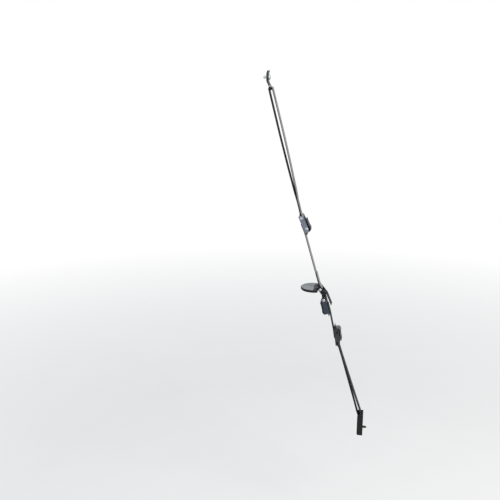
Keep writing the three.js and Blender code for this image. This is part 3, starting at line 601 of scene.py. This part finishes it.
def addLoop(name, start, end, endRadius, bulge, node, outside):
    # Once round a loop, from the middle of the sewn part on one side to the same place
    at, length = between(start, end)
    r = eyeRadius
    sweep = length / webbing["sweep"]
    farRadius = endRadius * webbing["farRoundness"]
    sewnStart = webbing["eyeTaper"] * r
    sewnEnd = sewnStart + webbing["sewn"]
    middle = (sewnStart + sewnEnd) / 2
    corners = [
        (at(middle, -layerOffset), 0), (at(sewnStart, -layerOffset), 2 * r),
        (at(r, -r), r), (at(-r, -r), nearEnd), (at(-r, r), nearEnd), (at(r, r), r),
        (at(sewnStart, layerOffset), 2 * r), (at(sewnEnd, layerOffset), sweep)]
    corners += [(at(share * length, half), sweep) for share, half in bulge]
    corners += [(at(length + endRadius, side * endRadius), farRadius) for side in (1, -1)]
    corners += [(at(share * length, -half), sweep) for share, half in reversed(bulge)]
    corners += [(at(sewnEnd, -layerOffset), sweep), (at(middle, -layerOffset), 0)]
    path = roundedPath(corners)
    pathLength = evenly(path)[1]
    halfSewn = (sewnEnd - sewnStart) / 2
    inset = stitching["inset"]
    upperStart = distanceTo(path, at(sewnStart, layerOffset))
    upperEnd = distanceTo(path, at(sewnEnd, layerOffset))
    zones = [
        (upperStart + inset, upperEnd - inset),
        (pathLength - halfSewn + inset, pathLength - inset),
        (inset, halfSewn - inset)]
    webbingStrip(name, corners, zones, node, darkWebbing, outside)


# Buckles: where each one hangs, and a function from its own places (along, height) to X and Z

buckles = {
    "upper": {"place": (-35.2, 162.6), "tilt": 23, "along": (1, -1), "height": (1, 1)},
    "plate": {"place": (26.8, -14.2), "tilt": 15.5, "along": (1, -1), "height": (-1, -1)},
    "lower": {"place": (53, -124.7), "tilt": 9, "along": (-1, 1), "height": (1, 1)},
}
buckleShape = {
    "length": 38 * mm,
    "wall": 1.5 * mm,
    "loopPin": (5.5 * mm, 4.6 * mm),
    "slotEnd": 18.65 * mm,
    "tail": 6 * mm,
    "easing": 12 * mm,  # radius of the webbing's bend at the buckle's mouth
}


def buckleAt(buckle, along, height):
    facts = buckles[buckle]
    tilt = math.radians(facts["tilt"])
    alongWay = Vector((facts["along"][0] * math.sin(tilt), facts["along"][1] * math.cos(tilt)))
    heightWay = Vector((facts["height"][0] * math.cos(tilt), facts["height"][1] * math.sin(tilt)))
    return Vector(facts["place"]) * mm + alongWay * along + heightWay * height


def threaded(buckle):
    # From the free end, over the base, down through the slot and back out under it
    above = buckleShape["wall"] + webbing["gap"] + webbing["thickness"] / 2
    below = -webbing["gap"] - webbing["thickness"] / 2
    turn = (above - below) / 2
    rear = buckleShape["slotEnd"] - turn
    return [
        (buckleAt(buckle, buckleShape["length"] + buckleShape["tail"], above), 0),
        (buckleAt(buckle, rear, above), turn * webbing["roundness"]),
        (buckleAt(buckle, rear, below), turn * webbing["roundness"]),
        (buckleAt(buckle, buckleShape["length"], below), buckleShape["easing"]),
    ]


loops = {
    "upperBar": (-97.6, 427),
    "upperBarRadius": 3.9 * mm,
    "upperBulge": [(0.21, 2 * mm), (0.4, 3.3 * mm), (0.66, 4.2 * mm)],  # share of the length, half the opening
    "lowerPin": (112.4, -294.2),
    "lowerBulge": [(0.78, 2.8 * mm), (0.93, 3.6 * mm)],
}
# The upper loop's outer face takes the lighter copy of the webbing, painted light where it faces the light;
# its inner face keeps the black
addLoop("upperLoop", buckleAt("upper", *buckleShape["loopPin"]), Vector(loops["upperBar"]) * mm,
        loops["upperBarRadius"], loops["upperBulge"], "upper_loop_webbing", paintedLitWebbing)
addLoop("lowerLoop", buckleAt("lower", *buckleShape["loopPin"]), Vector(loops["lowerPin"]) * mm,
        eyeRadius, loops["lowerBulge"], "lower_loop_webbing", darkWebbing)

platePins = {
    "upper": (15.6, 3.1),
    "toLower": (6.8, -8.8),
}
platePin = Vector(platePins["upper"]) * mm
hangerPin = platePin + Vector(platePins["toLower"]) * mm
r = eyeRadius

# Middle webbing: threaded through the upper buckle, down to the plate, round its pin and sewn back on itself
upperExit = buckleAt("upper", buckleShape["length"], -webbing["gap"] - webbing["thickness"] / 2)
at = between(platePin, upperExit)[0]
taper = webbing["eyeTaper"] * r
middleCorners = threaded("upper") + [
    (at(taper, layerOffset), 2 * r), (at(r, r), r), (at(-r, r), nearEnd),
    (at(-r, -r), nearEnd), (at(r, -r), r), (at(taper, -layerOffset), 2 * r),
    (at(taper + webbing["sewn"], -layerOffset), 0)]
middlePath = roundedPath(middleCorners)
middleLength = evenly(middlePath)[1]
toTaper = distanceTo(middlePath, at(taper, layerOffset))
middleZones = [
    (toTaper - webbing["sewn"] + stitching["inset"], toTaper - stitching["inset"]),
    (middleLength - webbing["sewn"] + stitching["inset"], middleLength - stitching["endInset"])]
# Both faces of the middle strap take the lighter copy of the webbing: painted light, for a strap lit from the
# upper right
webbingStrip("middleStrap", middleCorners, middleZones, "middle_webbing", paintedLitWebbing, paintedLitWebbing)

webbingStrip("lowerStrap", threaded("plate") + threaded("lower")[::-1], [], "lower_webbing",
             darkWebbing, darkWebbing)

# Hanger webbing: a short closed loop on the plate's lower pin, and its free tail
hangerTail = {
    "tilt": 23,
    "length": 27 * mm,
    "bend": 2.4,  # in eye radii behind the pin
    "sewn": (18 * mm, 26 * mm),
}
at, span = between(buckleAt("plate", *buckleShape["loopPin"]), hangerPin)
hangerCorners = [
    (at(span / 2, -r), 0), (at(-r, -r), nearEnd), (at(-r, r), nearEnd),
    (at(span + r, r), farEnd), (at(span + r, -r), farEnd), (at(span / 2, -r), 0)]
webbingStrip("hangerLoop", hangerCorners, [], "hanger_webbing", darkWebbing, darkWebbing)
tailTilt = math.radians(hangerTail["tilt"])
tailWay = Vector((math.sin(tailTilt), -math.cos(tailTilt)))
tailTop = hangerPin + Vector((0, r))
tailBend = Vector((hangerPin.x + hangerTail["bend"] * r, hangerPin.y - webbing["thickness"]))
tailCorners = [
    (tailTop, 0), (tailTop + Vector((r, 0)), r), (tailBend, 2 * r),
    (tailBend + tailWay * hangerTail["length"], 0)]
webbingStrip("hangerTail", tailCorners, [hangerTail["sewn"]], "hanger_webbing", darkWebbing, darkWebbing)


# Metal and plastic pieces: the CAD solid's shape with its pressed edges rounded

rigid = [  # slot, material, edge radius, nodes
    ("black_coated_steel", blackCoat, 0.35 * mm, [
        "tv_bracket", "upper_buckle_lever", "furniture_plate", "plate_lower_pin", "lower_buckle_loop_pin",
        "lower_buckle_cam_pin", "wall_bracket", "wall_bracket_pin", "wall_screw"]),
    ("black_coated_steel", glossyPaintedHighlightCoat, 0.35 * mm, ["lower_buckle_frame", "lower_buckle_lever"]),
    ("slate_coated_steel", paintedLitSlateCoat, 0.35 * mm, ["upper_buckle_frame"]),
    ("navy_coated_steel", navyCoat, 0.35 * mm, [
        "plate_buckle_frame", "plate_buckle_lever", "plate_buckle_cam_pin"]),
    ("bright_steel", zinc, 0.3 * mm, [
        "tv_screw", "tv_washer", "upper_buckle_loop_pin", "upper_buckle_cam_pin", "upper_buckle_spring",
        "plate_upper_pin", "plate_buckle_loop_pin", "plate_buckle_spring", "lower_buckle_spring",
        "wall_washer"]),
    ("grey_satin_plastic", cover, 0.3 * mm, ["plate_cover"]),
    ("foam_pad", foam, 0.2 * mm, ["plate_pad"]),
]
thumbRibs = {
    "along": (12.6 * mm, 14.4 * mm, 16.2 * mm, 18.0 * mm),
    "height": 13.9 * mm,  # the lever's top above the buckle's base
    "size": (0.9 * mm, 16 * mm, 1.1 * mm),
    "crown": 0.4 * mm,
}
coverLip = {
    "inset": 1.3 * mm,
    "width": 0.4 * mm,
    "height": 0.25 * mm,
}


def addThumbRibs(piece, buckle):
    # Rounded ribs across the lever, where the thumb pushes
    alongWay = buckleAt(buckle, 1, 0) - buckleAt(buckle, 0, 0)
    heightWay = buckleAt(buckle, 0, 1) - buckleAt(buckle, 0, 0)
    sideWay = math.copysign(1, alongWay.cross(heightWay))
    deselectAll()
    bpy.ops.mesh.primitive_cube_add(size=1)
    rib = bpy.context.object
    rib.scale = thumbRibs["size"]
    bpy.ops.object.transform_apply(location=False, rotation=False, scale=True)
    crown = rib.modifiers.new("crown", "BEVEL")
    crown.width = thumbRibs["crown"]
    crown.segments = 3
    applyAll(rib)
    rib.data.materials.append(piece.data.materials[0])
    ribs = []
    for along in thumbRibs["along"]:
        centre = buckleAt(buckle, along, thumbRibs["height"])
        copy = bpy.data.objects.new("rib", rib.data.copy())
        bpy.context.scene.collection.objects.link(copy)
        copy.matrix_world = Matrix((
            (alongWay.x, 0, heightWay.x, centre.x),
            (0, sideWay, 0, 0),
            (alongWay.y, 0, heightWay.y, centre.y),
            (0, 0, 0, 1)))
        ribs.append(copy)
    bpy.data.objects.remove(rib)
    selectOnly(piece, *ribs)
    bpy.ops.object.join()


def addCoverLip(piece):
    # A fine raised lip round the cover's top
    selectOnly(piece)
    bpy.ops.object.mode_set(mode="EDIT")
    bpy.ops.mesh.select_all(action="DESELECT")
    bpy.ops.object.mode_set(mode="OBJECT")
    top = max(v.co.z for v in piece.data.vertices)
    for face in piece.data.polygons:
        face.select = face.normal.z > 0.9 and abs(face.center.z - top) < 0.05 * mm
    bpy.ops.object.mode_set(mode="EDIT")
    bpy.ops.mesh.inset(thickness=coverLip["inset"], depth=0)
    bpy.ops.mesh.inset(thickness=coverLip["width"], depth=-coverLip["height"])
    bpy.ops.object.mode_set(mode="OBJECT")


def camelName(node):
    first, *rest = node.split("_")
    return first + "".join(word.capitalize() for word in rest)


sharpAngle = math.radians(32)
for slotName, material, edgeRadius, nodes in rigid:
    for node in nodes:
        mesh = frame["nodes"][node].data.copy()
        piece = bpy.data.objects.new(camelName(node), mesh)
        mesh.name = piece.name
        bpy.context.scene.collection.objects.link(piece)
        mesh.materials.clear()
        mesh.materials.append(material)
        selectOnly(piece)
        bpy.ops.object.mode_set(mode="EDIT")
        bpy.ops.mesh.select_all(action="SELECT")
        bpy.ops.mesh.remove_doubles(threshold=0.002 * mm)
        bpy.ops.mesh.dissolve_limited(angle_limit=math.radians(1))
        bpy.ops.object.mode_set(mode="OBJECT")
        if node == "plate_cover":
            addCoverLip(piece)
        if not node.endswith("spring"):
            edges = piece.modifiers.new("edges", "BEVEL")
            edges.width = edgeRadius
            edges.segments = 2
            edges.limit_method = "ANGLE"
            edges.angle_limit = sharpAngle
        applyAll(piece)
        if node.endswith("lever"):
            addThumbRibs(piece, node.split("_")[0])
        bpy.ops.object.shade_smooth_by_angle(angle=sharpAngle)
        finishPiece(piece, node)
print("metal and plastic pieces ready")
